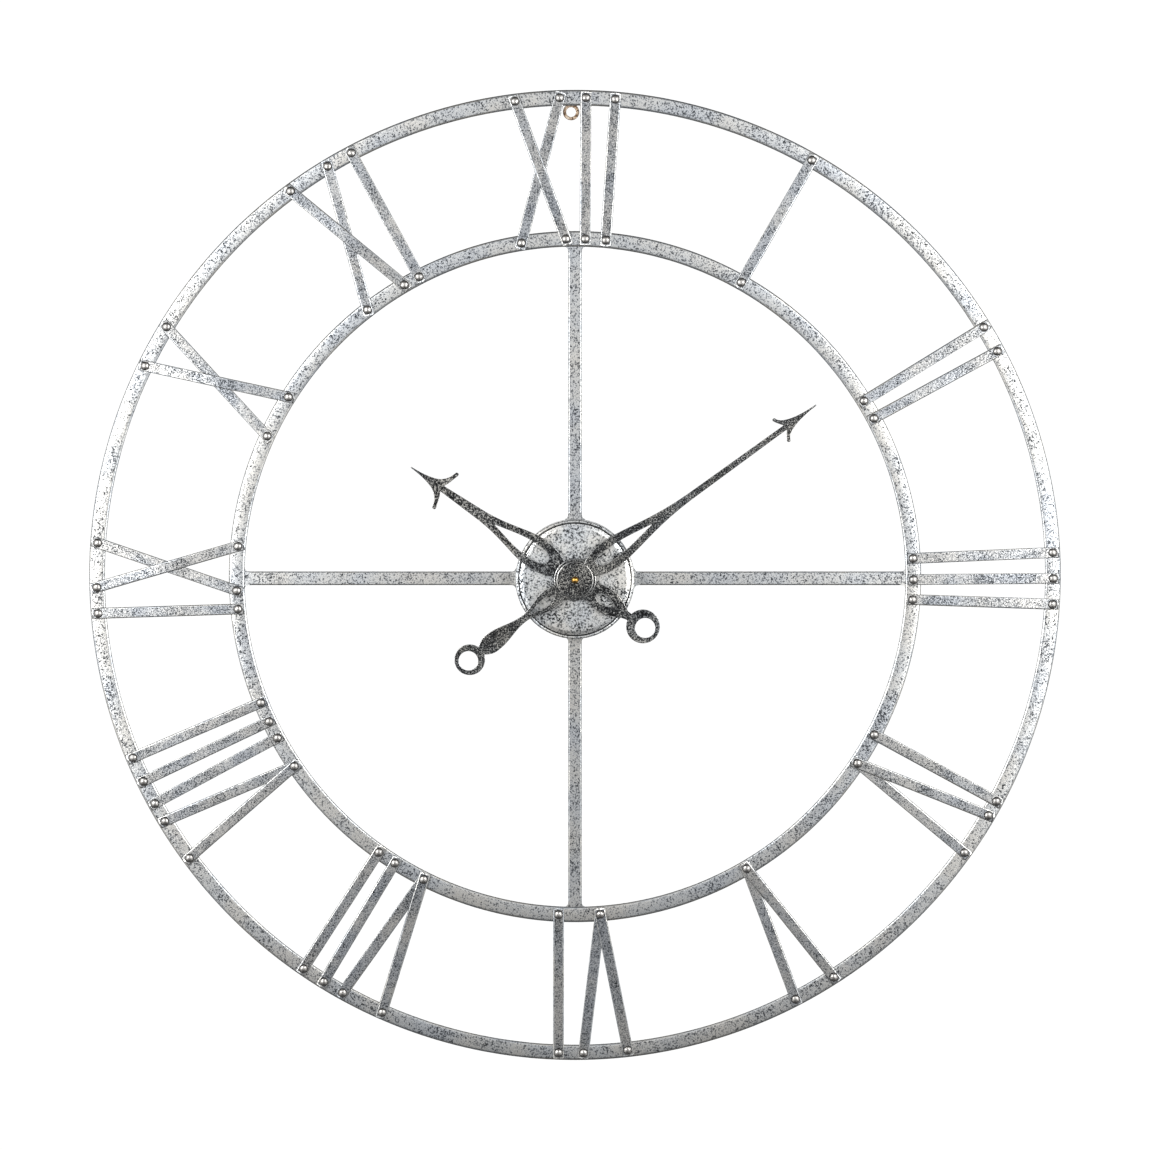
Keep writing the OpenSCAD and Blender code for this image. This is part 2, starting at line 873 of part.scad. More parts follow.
// The centre wheel is held on the arbor by friction, so that the hands can be set.
module centre_wheel() {
  collar_w = 1.2;
  color("ivory")
    upright()
      difference() {
        union() {
          gear(centre_mod, centre_teeth, third_turn, centre_z, wheel_t);
          disc(arbor_r + collar_w, centre_z, centre_z + 2 * wheel_t);
        }
        disc(arbor_r + run_gap, centre_z - eps, centre_z + wheel_t + eps);
      }
}

// The motion wheel, its pinion and the stem that the setting knob turns.
module motion_wheel() {
  color("ivory")
    upright()
      at(motion_at) {
        disc(stem_r, case_back - stem_out, chamber_front + pivot_depth);
        gear(motion_mod, motion_teeth, meshed(motion_turn, motion_teeth), motion_z, pinion_t);
        gear(hour_mod, motion_pinion_teeth, motion_turn, motion_z + pinion_t, motion_pinion_l);
      }
}

module hour_wheel() {
  color("ivory")
    upright()
      difference() {
        union() {
          gear(hour_mod, hour_teeth, meshed(motion_turn + 180, hour_teeth), hour_wheel_z, pinion_t);
          disc(tube_r, hour_wheel_z, tube_front);
        }
        disc(tube_bore_r, hour_wheel_z - eps, tube_front + eps);
      }
}

// The minute arbor with its cannon pinion, pivot and domed end.
module minute_arbor() {
  dome_r = (cap_r * cap_r + cap_t * cap_t) / (2 * cap_t);
  color("goldenrod")
    upright() {
      disc(arbor_r, plate_front + end_play, minute_boss_front);
      disc(stem_r, plate_back + end_play, plate_front + end_play);
      gear(
        motion_mod, cannon_teeth, motion_turn,
        motion_z - 2 * end_play, pinion_t + 4 * end_play
      );
      intersection() {
        translate([0, 0, minute_boss_front + cap_t - dome_r])
          sphere(r = dome_r);
        disc(cap_r + eps, minute_boss_front, overall_depth + eps);
      }
    }
}

// ---- Hands ----

// Half of a hand's outline from the boss to the tip: two arms that part at the boss,
// close into a shaft and end in an arrowhead with swept-back barbs.
module blade(reach, widest_at, widest, join_at, join_half, neck_half, head_l, barb, barb_r) {
  root_x = reach - head_l;
  barb_x = root_x - barb[0];
  barb_y = barb[1];
  side = concat(
    curve([12, 5], [18, widest * 0.8], [widest_at - 11, widest], [widest_at, widest]),
    curve(
      [widest_at, widest], [widest_at + (join_at - widest_at) / 4, widest],
      [widest_at + (join_at - widest_at) / 2, join_half + 0.7], [join_at, join_half]
    ),
    curve(
      [root_x, neck_half], [root_x - 2, neck_half + 2.6],
      [barb_x, barb_y * 0.7], [barb_x - barb_r, barb_y], 6
    )
  );
  point_x = root_x + head_l * 0.28;
  point_half = neck_half * 1.5;
  top = concat(
    curve(
      [barb_x + barb_r, barb_y], [root_x, barb_y * 0.62],
      [point_x - 5, point_half * 1.5], [point_x, point_half], 6
    ),
    curve(
      [point_x, point_half], [point_x + head_l * 0.2, point_half * 0.5],
      [reach - head_l * 0.35, 0.9], [reach, 0.5], 6
    )
  );
  outline = concat(side, top);
  polygon(concat(outline, mirrored(outline)));
  for (flip = [-1, 1])
    translate([barb_x, flip * barb_y])
      circle(r = barb_r, $fn = 24);
}

// A pointed opening that starts round near the boss and closes at a point.
module opening(start, widest_at, widest, point) {
  half = concat(
    curve(
      [start, 0], [start, widest * 0.65],
      [start + (widest_at - start) * 0.4, widest], [widest_at, widest]
    ),
    curve(
      [widest_at, widest], [widest_at + (point - widest_at) * 0.4, widest],
      [widest_at + (point - widest_at) * 0.66, widest * 0.45], [point, 0.2]
    )
  );
  polygon(concat(half, mirrored(half)));
}

// A ring at the tail of a hand, thinnest on its far side.
module ring_end(centre, radius, hole_radius, hole_shift) {
  difference() {
    translate([centre, 0])
      circle(r = radius);
    translate([centre + hole_shift, 0])
      circle(r = hole_radius);
  }
}

// Places a flat hand outline, drawn along +X, at its clock angle and its level.
module hand(angle, back) {
  upright()
    rotate([0, 0, 90 - angle])
      translate([0, 0, back])
        linear_extrude(hand_t)
          children();
}

// The raised round boss of a hand, with a bevelled rim.
module hand_boss(radius, bore_r, back) {
  edge = boss_t / 2;
  rotate_extrude()
    polygon([
      [bore_r, back],
      [radius, back],
      [radius, back + edge],
      [radius - edge, back + boss_t],
      [bore_r, back + boss_t]
    ]);
}

module minute_hand() {
  tail_side = concat(
    curve([12, 5], [16, 7], [20, 8], [27, 8]),
    curve([27, 8], [37, 8], [42, 2.9], [52, 2.9]),
    curve([52, 2.9], [65, 2.9], [71, 8], [85, 8]),
    curve([85, 8], [92, 8], [94.5, 4.4], [98, 2.6])
  );
  tail_lean = 1.2;
  color("dimgray") {
    hand(minute_angle, minute_back)
      difference() {
        union() {
          circle(r = minute_boss_d / 2);
          blade(
            reach = minute_reach, widest_at = 37, widest = 11.8, join_at = 115,
            join_half = 2.9, neck_half = 2.2, head_l = 31.5, barb = [3.6, 10.1], barb_r = 1.5
          );
          rotate([0, 0, 180 + tail_lean]) {
            polygon(concat(tail_side, mirrored(tail_side)));
            ring_end(centre = 108, radius = 12.6, hole_radius = 7.9, hole_shift = 1.4);
          }
        }
        circle(r = arbor_r);
        opening(start = 22, widest_at = 34, widest = 5.2, point = 77);
        rotate([0, 0, 180 + tail_lean])
          opening(start = 22, widest_at = 27.5, widest = 3.5, point = 46);
      }
    upright()
      hand_boss(minute_boss_d / 2, arbor_r, minute_front);
  }
}

module hour_hand() {
  tail_side = concat(
    curve([12, 5], [16, 8.6], [22, 10.4], [30, 10.4]),
    curve([30, 10.4], [41, 10.4], [46, 3.6], [55, 3])
  );
  color("dimgray") {
    hand(hour_angle, hour_back)
      difference() {
        union() {
          circle(r = hour_boss_d / 2);
          blade(
            reach = hour_reach, widest_at = 40, widest = 13.2, join_at = 100,
            join_half = 4.1, neck_half = 2.7, head_l = 30.9, barb = [3.3, 16.2], barb_r = 1.6
          );
          rotate([0, 0, 180]) {
            polygon(concat(tail_side, mirrored(tail_side)));
            ring_end(centre = 67.4, radius = 13.9, hole_radius = 8.15, hole_shift = 2.2);
          }
        }
        circle(r = tube_r);
        opening(start = 27, widest_at = 40, widest = 6.6, point = 79);
        rotate([0, 0, 180])
          opening(start = 21.5, widest_at = 28, widest = 4.3, point = 40.5);
      }
    upright()
      hand_boss(hour_boss_d / 2, tube_r, hour_front);
  }
}

outer_hoop();
inner_hoop();
for (hour = [3:3:12])
  spoke(hour * hour_step);
hub_cup();
hanging_eye();
outer_rivets();
inner_rivets();
vee_rivets();
for (hour = straight_hours)
  straight_bars(hour);
for (hour = vee_hours) {
  vee_bar(hour, 1);
  vee_bar(hour, -1);
}
for (hour = cross_hours) {
  cross_bar(hour, 1);
  cross_bar(hour, -1);
}
hub_gasket();
bush_washer();
mounting_nut();
movement_case();
train_plate();
rear_cover();
setting_knob();
battery();
battery_contacts();
circuit_board();
motor_stator();
motor_coil();
motor_rotor();
middle_wheel();
third_wheel();
centre_wheel();
motion_wheel();
hour_wheel();
minute_arbor();
hour_hand();
minute_hand();
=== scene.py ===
import json
import math

import bmesh
import bpy
from mathutils import Matrix, Vector


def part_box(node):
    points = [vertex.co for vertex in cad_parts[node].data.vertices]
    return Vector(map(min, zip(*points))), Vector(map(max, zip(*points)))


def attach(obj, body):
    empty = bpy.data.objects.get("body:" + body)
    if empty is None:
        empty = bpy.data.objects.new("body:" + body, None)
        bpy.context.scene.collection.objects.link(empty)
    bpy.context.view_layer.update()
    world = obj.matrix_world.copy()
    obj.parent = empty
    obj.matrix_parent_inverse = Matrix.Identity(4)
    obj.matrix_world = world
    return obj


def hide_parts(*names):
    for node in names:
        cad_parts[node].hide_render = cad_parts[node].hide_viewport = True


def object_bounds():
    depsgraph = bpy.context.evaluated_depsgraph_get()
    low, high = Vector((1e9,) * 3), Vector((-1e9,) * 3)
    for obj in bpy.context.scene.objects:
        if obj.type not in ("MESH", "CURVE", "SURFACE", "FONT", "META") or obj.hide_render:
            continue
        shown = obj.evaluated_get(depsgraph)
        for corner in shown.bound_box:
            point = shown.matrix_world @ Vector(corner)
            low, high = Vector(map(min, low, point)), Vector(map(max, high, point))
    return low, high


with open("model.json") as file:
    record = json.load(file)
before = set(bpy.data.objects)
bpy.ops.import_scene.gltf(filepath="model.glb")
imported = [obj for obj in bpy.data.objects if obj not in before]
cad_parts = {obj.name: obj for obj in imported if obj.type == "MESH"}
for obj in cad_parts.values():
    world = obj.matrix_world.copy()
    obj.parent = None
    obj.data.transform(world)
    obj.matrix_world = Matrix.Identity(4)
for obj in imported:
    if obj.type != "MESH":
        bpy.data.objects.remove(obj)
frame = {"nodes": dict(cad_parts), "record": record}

# Wall clock: rolled steel hoops, riveted numeral bars, a spun hub and two pierced hands.
# The dial faces -Y, twelve o'clock is +Z, and the wall is on the +Y side.

cadLow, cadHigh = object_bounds()
mm = 0.001
scene = bpy.context.scene
record = frame["record"]
bodyOf = {node: body for body, nodes in record["behaviour"]["bodies"].items() for node in nodes}
print("stage: frame loaded,", len(frame["nodes"]), "CAD nodes")


def linearColour(hexText):
    channels = [int(hexText[i:i + 2], 16) / 255 for i in (1, 3, 5)]
    linear = [c / 12.92 if c <= 0.04045 else ((c + 0.055) / 1.055) ** 2.4 for c in channels]
    return (*linear, 1.0)


# Adds a node to a shader or geometry tree. An input is a fixed value or another node's
# output, and stops are a colour ramp's places and hex colours.
def addNode(tree, kind, inputs={}, stops={}, **settings):
    node = tree.nodes.new(kind)
    for name, value in settings.items():
        setattr(node, name, value)
    for socket, value in inputs.items():
        if isinstance(value, bpy.types.NodeSocket):
            tree.links.new(value, node.inputs[socket])
        else:
            node.inputs[socket].default_value = value
    for number, place in enumerate(sorted(stops)):
        ramp = node.color_ramp.elements
        stop = ramp[number] if number < len(ramp) else ramp.new(place)
        stop.position = place
        stop.color = linearColour(stops[place])
    return node


# An empty material with its shader's fixed values set, and the object's own coordinates.
def startMaterial(name, fixed):
    material = bpy.data.materials.new(name)
    material.use_nodes = True
    tree = material.node_tree
    tree.nodes.clear()
    shader = addNode(tree, "ShaderNodeBsdfPrincipled", fixed)
    addNode(tree, "ShaderNodeOutputMaterial", {"Surface": shader.outputs["BSDF"]})
    place = addNode(tree, "ShaderNodeTexCoord").outputs["Object"]
    return material, tree, shader, place


# Noise stays mostly inside these values. An effect of it is spread over the wide span, and
# a finish turns from dull to bright over the narrow one.
wideSpan = {"From Min": 0.3, "From Max": 0.7}
narrowSpan = {"From Min": 0.35, "From Max": 0.65}


# Joins a pattern to the shader: its colours, its roughness and its relief. A tint, when
# there is one, is laid over the colours.
def finishMaterial(tree, shader, pattern, look, tint=None):
    colour = addNode(tree, "ShaderNodeValToRGB", {"Fac": pattern}, look["stops"]).outputs["Color"]
    if tint:
        colour = addNode(tree, "ShaderNodeMix", {
            "Factor": 1.0, 6: colour, 7: tint}, data_type="RGBA", blend_type="MULTIPLY").outputs[2]
    polish = addNode(tree, "ShaderNodeMapRange", {
        "Value": pattern, **narrowSpan, "To Min": look["roughDark"], "To Max": look["roughPale"]})
    bump = addNode(tree, "ShaderNodeBump", {
        "Height": pattern, "Strength": 0.5, "Distance": look["relief"] * mm})
    tree.links.new(colour, shader.inputs["Base Color"])
    tree.links.new(polish.outputs[0], shader.inputs["Roughness"])
    tree.links.new(bump.outputs["Normal"], shader.inputs["Normal"])


# Hot-dip galvanised mild steel, aged with a dark wash that is wiped off and stays in the
# pits: pale crystals, near-black flecks between them and cloudy patches a few centimetres
# wide. The flecks are drawn 0.9 to 1.5 mm wide, about twice as coarse as the real ones, so
# that they show from across a room. All of a look's sizes are in millimetres.
def agedSteel(name, look):
    material, tree, shader, place = startMaterial(name, {"Metallic": look["metallic"]})
    flecks = addNode(tree, "ShaderNodeTexNoise", {
        "Vector": place, "Scale": 1 / (look["fleck"] * mm), "Detail": 2.5, "Roughness": 0.7})
    crystals = addNode(tree, "ShaderNodeTexVoronoi", {
        "Vector": place, "Scale": 1 / (look["crystal"] * mm)})
    facet = addNode(tree, "ShaderNodeSeparateColor", {"Color": crystals.outputs["Color"]})
    clouds = addNode(tree, "ShaderNodeTexNoise", {
        "Vector": place, "Scale": 1 / (look["patch"] * mm), "Detail": 3.0, "Roughness": 0.55})
    lifted = addNode(tree, "ShaderNodeMapRange", {
        "Value": clouds.outputs["Fac"], **wideSpan,
        "To Min": -look["patchDepth"], "To Max": look["patchDepth"]})
    tilted = addNode(tree, "ShaderNodeMapRange", {
        "Value": facet.outputs["Red"],
        "To Min": -look["crystalDepth"], "To Max": look["crystalDepth"]})
    both = addNode(tree, "ShaderNodeMath", {0: lifted.outputs[0], 1: tilted.outputs[0]})
    wash = addNode(tree, "ShaderNodeMath", {0: flecks.outputs["Fac"], 1: both.outputs[0]})
    drift = addNode(tree, "ShaderNodeTexNoise", {
        "Vector": place, "Scale": 0.5 / (look["patch"] * mm), "Detail": 2.0, "Roughness": 0.5})
    tint = addNode(tree, "ShaderNodeValToRGB", {"Fac": drift.outputs["Fac"]}, look["tints"])
    finishMaterial(tree, shader, wash.outputs[0], look, tint.outputs["Color"])
    return material


steelTints = {0.36: "#f2f5f9", 0.5: "#fafaf9", 0.62: "#fffcf7"}  # bluish to straw, as zinc ages

galvanisedStrap = agedSteel("aged_galvanised_strap", {
    "metallic": 0.9, "fleck": 1.3, "crystal": 2.6, "patch": 26,
    "patchDepth": 0.04, "crystalDepth": 0.04,
    "roughDark": 0.5, "roughPale": 0.28, "relief": 0.05, "tints": steelTints,
    "stops": {0.37: "#333537", 0.44: "#84868a", 0.49: "#bbbdbf", 0.57: "#d5d6d6", 0.70: "#e9e9e8"}})
galvanisedBar = agedSteel("aged_galvanised_bar", {
    "metallic": 0.9, "fleck": 1.2, "crystal": 2.2, "patch": 17,
    "patchDepth": 0.05, "crystalDepth": 0.04,
    "roughDark": 0.5, "roughPale": 0.28, "relief": 0.05, "tints": steelTints,
    "stops": {0.37: "#2b2d2f", 0.45: "#6e7175", 0.51: "#a6a8ab", 0.60: "#cccdce", 0.72: "#e6e6e5"}})
# The same steel on rolled and broken edges, where the wash is rubbed off almost wholly; the paler
# edge is also a painted highlight.
wornEdgeAndHighlight = agedSteel("worn_galvanised_edge", {
    "metallic": 0.95, "fleck": 1.5, "crystal": 2.4, "patch": 20,
    "patchDepth": 0.05, "crystalDepth": 0.02,
    "roughDark": 0.4, "roughPale": 0.24, "relief": 0.03, "tints": steelTints,
    "stops": {0.30: "#5a5c5e", 0.38: "#95979a", 0.50: "#bfc1c2", 0.65: "#dcdcdb"}})
galvanisedCup = agedSteel("aged_galvanised_spinning", {
    "metallic": 0.9, "fleck": 1.4, "crystal": 3.4, "patch": 14,
    "patchDepth": 0.05, "crystalDepth": 0.03,
    "roughDark": 0.5, "roughPale": 0.32, "relief": 0.04, "tints": steelTints,
    "stops": {0.38: "#111213", 0.43: "#5c5e60", 0.47: "#b4b6b7", 0.56: "#dcdddd", 0.72: "#f2f2f1"}})
# Cold-rolled sheet with a charcoal patina, wire-brushed, so bright metal shows as flecks.
patinatedSheet = agedSteel("charcoal_patinated_sheet", {
    "metallic": 0.85, "fleck": 1.1, "crystal": 1.8, "patch": 16,
    "patchDepth": 0.05, "crystalDepth": 0.03,
    "roughDark": 0.46, "roughPale": 0.26, "relief": 0.04, "tints": steelTints,
    "stops": {0.39: "#101011", 0.48: "#2c2d2f", 0.53: "#4a4c4e", 0.58: "#a9aaa9", 0.66: "#e8e7e4"}})
# The same sheet where the patina is rubbed off along its edges, down to grey metal; the bright edge
# is also a painted highlight.
rubbedEdgeAndHighlight = agedSteel("rubbed_sheet_edge", {
    "metallic": 1.0, "fleck": 1.3, "crystal": 2.0, "patch": 16,
    "patchDepth": 0.05, "crystalDepth": 0.02,
    "roughDark": 0.36, "roughPale": 0.2, "relief": 0.02, "tints": steelTints,
    "stops": {0.30: "#7b7c7e", 0.50: "#b9b9b9", 0.70: "#e4e4e2"}})
# Oil-browned lug: brown with sooty spots and rubbed cream ones.
brownedLug = agedSteel("oil_browned_lug", {
    "metallic": 0.6, "fleck": 0.9, "crystal": 1.5, "patch": 6,
    "patchDepth": 0.09, "crystalDepth": 0.03,
    "roughDark": 0.55, "roughPale": 0.3, "relief": 0.05, "tints": {0.4: "#fff4e6", 0.6: "#ffffff"},
    "stops": {0.32: "#2c2119", 0.42: "#6a5340", 0.52: "#a8917a", 0.66: "#e9dfcf"}})


# Bare metal with fine scuffs or tool lines. A small number in stretch draws the lines out
# along that axis.
def bareMetal(name, look):
    material, tree, shader, place = startMaterial(name, {"Metallic": 1.0})
    drawn = addNode(tree, "ShaderNodeMapping", {"Vector": place, "Scale": look["stretch"]})
    scuffs = addNode(tree, "ShaderNodeTexNoise", {
        "Vector": drawn.outputs[0], "Scale": 1 / (look["scuff"] * mm),
        "Detail": 3.0, "Roughness": 0.65})
    finishMaterial(tree, shader, scuffs.outputs["Fac"], look)
    return material


# Tumbled steel rivet heads: a bright, faintly warm reflection with light scuffs.
tumbledRivet = bareMetal("tumbled_steel_rivet", {
    "stretch": (1, 1, 1), "scuff": 0.9, "roughDark": 0.46, "roughPale": 0.3, "relief": 0.03,
    "stops": {0.38: "#6f6c69", 0.5: "#b0aeab", 0.65: "#d4d2cf"}})
# Painted shade: a near-black colour in the corner round each rivet head and in the bottom of the
# hub's groove, where shade falls.
paintedRecessShade = bareMetal("dark_wash_residue", {
    "stretch": (1, 1, 1), "scuff": 0.7, "roughDark": 0.7, "roughPale": 0.5, "relief": 0.03,
    "stops": {0.35: "#161616", 0.5: "#2e2e2f", 0.68: "#5c5b5a"}})
# Turned brass with a thin tarnish, darker where it is thicker.
turnedBrass = bareMetal("turned_brass", {
    "stretch": (1, 3, 1), "scuff": 1.2, "roughDark": 0.4, "roughPale": 0.2, "relief": 0.02,
    "stops": {0.3: "#7a5726", 0.5: "#b58a45", 0.7: "#d9b66e"}})
# Nickel-plated strip: bright, with rolling lines along it.
springStrip = bareMetal("nickel_plated_spring_strip", {
    "stretch": (0.2, 1, 1), "scuff": 0.4, "roughDark": 0.36, "roughPale": 0.22, "relief": 0.01,
    "stops": {0.3: "#8a8a87", 0.7: "#cbcbc7"}})
# Stamped soft iron: duller, with coarser rolling lines.
stampedIron = bareMetal("stamped_motor_iron", {
    "stretch": (0.2, 1, 1), "scuff": 0.5, "roughDark": 0.5, "roughPale": 0.34, "relief": 0.02,
    "stops": {0.3: "#57585a", 0.7: "#8d8e90"}})
# Ground ferrite: nearly black, with grinding lines across its end.
groundFerrite = bareMetal("ground_ferrite", {
    "stretch": (1, 0.2, 1), "scuff": 0.4, "roughDark": 0.55, "roughPale": 0.4, "relief": 0.01,
    "stops": {0.3: "#26262a", 0.7: "#4b4b50"}})
# Enamelled copper wire, orange-brown with a clear gloss.
woundCopper = bareMetal("enamelled_copper_winding", {
    "stretch": (1, 0.06, 0.06), "scuff": 0.4, "roughDark": 0.36, "roughPale": 0.2, "relief": 0.03,
    "stops": {0.3: "#6b2c12", 0.7: "#c46c3c"}})


rubbedWidth = 14 * mm  # a finger's width


# Moulded plastic or cut rubber: one colour, a little uneven in shade, with the sandy skin
# of a spark-eroded mould and duller places where hands have rubbed it.
def moulded(name, look):
    material, tree, shader, place = startMaterial(name, look.get("fixed", {}))
    skin = addNode(tree, "ShaderNodeTexNoise", {
        "Vector": place, "Scale": 1 / (look["grain"] * mm), "Detail": 2.0, "Roughness": 0.6})
    rubbed = addNode(tree, "ShaderNodeTexNoise", {
        "Vector": place, "Scale": 1 / rubbedWidth, "Detail": 3.0})
    mixed = addNode(tree, "ShaderNodeMix", {
        "Factor": 0.6, "A": skin.outputs["Fac"], "B": rubbed.outputs["Fac"]})
    finishMaterial(tree, shader, mixed.outputs["Result"], look)
    return material


blackAbs = moulded("moulded_black_abs", {
    "grain": 0.4, "roughDark": 0.62, "roughPale": 0.46, "relief": 0.04,
    "stops": {0.35: "#151516", 0.65: "#252527"}})
redAbs = moulded("moulded_red_abs", {
    "grain": 0.5, "roughDark": 0.46, "roughPale": 0.32, "relief": 0.02,
    "stops": {0.35: "#8c1611", 0.65: "#b4271d"}})
naturalAcetal = moulded("moulded_natural_acetal", {
    "grain": 0.6, "roughDark": 0.42, "roughPale": 0.3, "relief": 0.01,
    "stops": {0.35: "#cdc6b2", 0.65: "#e6e0cf"}})
cutRubber = moulded("die_cut_rubber", {
    "grain": 0.5, "roughDark": 0.92, "roughPale": 0.8, "relief": 0.04,
    "stops": {0.35: "#121212", 0.65: "#212121"}})
maskedLaminate = moulded("solder_masked_laminate", {
    "grain": 1.2, "roughDark": 0.36, "roughPale": 0.22, "relief": 0.01,
    "fixed": {"Coat Weight": 0.4, "Coat Roughness": 0.15},
    "stops": {0.35: "#123f25", 0.65: "#1e5c38"}})


# AA cell in a shrink sleeve: two printed colours, bare nickelled steel at both ends and a
# light grime. Bands, from and to are places along its length, as shares of it.
sleeve = {
    "from": 0.025, "to": 0.965, "coat": 0.3, "grime": 5, "relief": 0.02,
    "shade": (0.8, 1.0), "rough": (0.38, 0.24),
    "bands": {0.0: "#b4b4b0", 0.025: "#1c2a45", 0.2: "#c8ccd1", 0.235: "#1c2a45",
              0.72: "#b7925a", 0.965: "#b4b4b0"}}


def shrinkSleeve(low, high, look):
    material, tree, shader, place = startMaterial("battery_shrink_sleeve", {
        "Coat Weight": look["coat"]})
    across = addNode(tree, "ShaderNodeSeparateXYZ", {"Vector": place})
    share = addNode(tree, "ShaderNodeMapRange", {
        "Value": across.outputs["X"], "From Min": low, "From Max": high})
    ramp = addNode(tree, "ShaderNodeValToRGB", {"Fac": share.outputs[0]}, look["bands"])
    ramp.color_ramp.interpolation = "CONSTANT"
    grime = addNode(tree, "ShaderNodeTexNoise", {
        "Vector": place, "Scale": 1 / (look["grime"] * mm), "Detail": 3.0})
    shade = addNode(tree, "ShaderNodeMapRange", {
        "Value": grime.outputs["Fac"], **wideSpan,
        "To Min": look["shade"][0], "To Max": look["shade"][1]})
    tinted = addNode(tree, "ShaderNodeMix", data_type="RGBA", blend_type="MULTIPLY", inputs={
        "Factor": 1.0, 6: ramp.outputs["Color"], 7: shade.outputs[0]})
    below = addNode(tree, "ShaderNodeMath", operation="LESS_THAN", inputs={
        0: share.outputs[0], 1: look["from"]})
    above = addNode(tree, "ShaderNodeMath", operation="GREATER_THAN", inputs={
        0: share.outputs[0], 1: look["to"]})
    bare = addNode(tree, "ShaderNodeMath", {0: below.outputs[0], 1: above.outputs[0]})
    polish = addNode(tree, "ShaderNodeMapRange", {
        "Value": grime.outputs["Fac"], **wideSpan,
        "To Min": look["rough"][0], "To Max": look["rough"][1]})
    bump = addNode(tree, "ShaderNodeBump", {
        "Height": grime.outputs["Fac"], "Strength": 0.2, "Distance": look["relief"] * mm})
    tree.links.new(tinted.outputs[2], shader.inputs["Base Color"])
    tree.links.new(bare.outputs[0], shader.inputs["Metallic"])
    tree.links.new(polish.outputs[0], shader.inputs["Roughness"])
    tree.links.new(bump.outputs["Normal"], shader.inputs["Normal"])
    return material


print("stage: materials made,", len(bpy.data.materials))


# Mesh work. Corners nearer than merge, in millimetres, are one. The angles, in degrees, are
# those under which faces are one flat, over which an edge is broken, and over which it is
# shaded sharp. A front face's normal has a Y below front.
bench = {"merge": 0.002, "flat": 0.4, "broken": 35, "sharp": 40, "front": -0.7}


# A round CAD node's inner and outer radius about the hands' axis, and its front and back.
# The outer one is the box's least, so that a rounder piece stays inside the box.
def nodeReach(node):
    low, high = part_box(node)
    corners = frame["nodes"][node].data.vertices
    inner = min(math.hypot(corner.co.x, corner.co.z) for corner in corners)
    return inner, min(-low[0], high[0], -low[2], high[2]), low[1], high[1]


# A finished mesh becomes the piece that stands for a CAD node.
def addPiece(name, mesh, node, *materials):
    mesh.name = name
    piece = bpy.data.objects.new(name, mesh)
    scene.collection.objects.link(piece)
    if materials:
        mesh.materials.clear()
    for material in materials:
        mesh.materials.append(material)
    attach(piece, bodyOf[node])
    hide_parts(node)


# The mesh that an object's modifiers give. The object that carried them goes away.
def bakeMesh(holder):
    bpy.context.view_layer.update()
    evaluated = holder.evaluated_get(bpy.context.evaluated_depsgraph_get())
    mesh = bpy.data.meshes.new_from_object(evaluated)
    holder.modifiers.clear()
    bpy.data.objects.remove(holder)
    return mesh


# A copy of a CAD node as clean faces: its loose triangles are joined, and flat areas made
# single faces again.
def cleanCopy(node):
    bm = bmesh.new()
    bm.from_mesh(frame["nodes"][node].data)
    bmesh.ops.remove_doubles(bm, verts=bm.verts, dist=bench["merge"] * mm)
    flat = math.radians(bench["flat"])
    bmesh.ops.dissolve_limit(bm, angle_limit=flat, verts=bm.verts, edges=bm.edges)
    mesh = bpy.data.meshes.new(node)
    bm.to_mesh(mesh)
    bm.free()
    return mesh


# A CAD node with its sharp edges broken, as a file, a tumbling barrel or a mould leaves
# them. Front edges are broken by the whole width and the others by a share of it; edges
# shorter than the least length stay sharp. The last material is for the broken edges.
def easeNode(node, width, share, segments, least, *materials):
    holder = bpy.data.objects.new(node + "_worked", cleanCopy(node))
    scene.collection.objects.link(holder)
    bm = bmesh.new()
    bm.from_mesh(holder.data)
    weight = bm.edges.layers.float.new("bevel_weight_edge")
    for edge in bm.edges:
        if edge.calc_face_angle(0) > math.radians(bench["broken"]):
            front = min(face.normal.y for face in edge.link_faces) < bench["front"]
            edge.smooth = edge.calc_length() > least * mm
            if edge.smooth:
                edge[weight] = 1 if front else share
    bm.to_mesh(holder.data)
    bm.free()
    holder.data.shade_smooth()
    ease = holder.modifiers.new("ease", "BEVEL")
    ease.width = width * mm
    ease.segments = segments
    ease.limit_method = "WEIGHT"
    ease.use_clamp_overlap = False
    flatten = holder.modifiers.new("flatten", "WEIGHTED_NORMAL")
    flatten.weight = 100  # large faces set the shading
    flatten.keep_sharp = True
    for material in materials:
        holder.data.materials.append(material)
    ease.material = len(materials) - 1
    addPiece(node + "_worked", bakeMesh(holder), node)


# Turns a closed profile of (distance from the axis, place along Y) round the hands' axis.
# Points on the axis close the shape there.
def turnedMesh(name, profile, segments):
    bm = bmesh.new()
    turns = [2 * math.pi * i / segments for i in range(segments)]
    rings = []
    for radius, depth in profile:
        if radius == 0:
            rings.append([bm.verts.new((0, depth, 0))])
        else:
            ring = [(radius * math.sin(a), depth, radius * math.cos(a)) for a in turns]
            rings.append([bm.verts.new(corner) for corner in ring])
    for first, second in zip(rings, rings[1:] + rings[:1]):
        for i in range(segments):
            j = (i + 1) % segments
            around = [first[i % len(first)], first[j % len(first)]]
            around += [second[j % len(second)], second[i % len(second)]]
            corners = list(dict.fromkeys(around))
            if len(corners) > 2:
                bm.faces.new(corners)
    bmesh.ops.recalc_face_normals(bm, faces=bm.faces)
    mesh = bpy.data.meshes.new(name)
    bm.to_mesh(mesh)
    bm.free()
    mesh.shade_smooth()
    mesh.set_sharp_from_angle(angle=math.radians(bench["sharp"]))
    return mesh


# Points on a quarter or half round, from one angle to another, in degrees.
def roundPoints(centre, radius, start, end, steps):
    angles = [math.radians(start + (end - start) * i / steps) for i in range(steps + 1)]
    return [(centre[0] + radius * math.cos(a), centre[1] + radius * math.sin(a)) for a in angles]


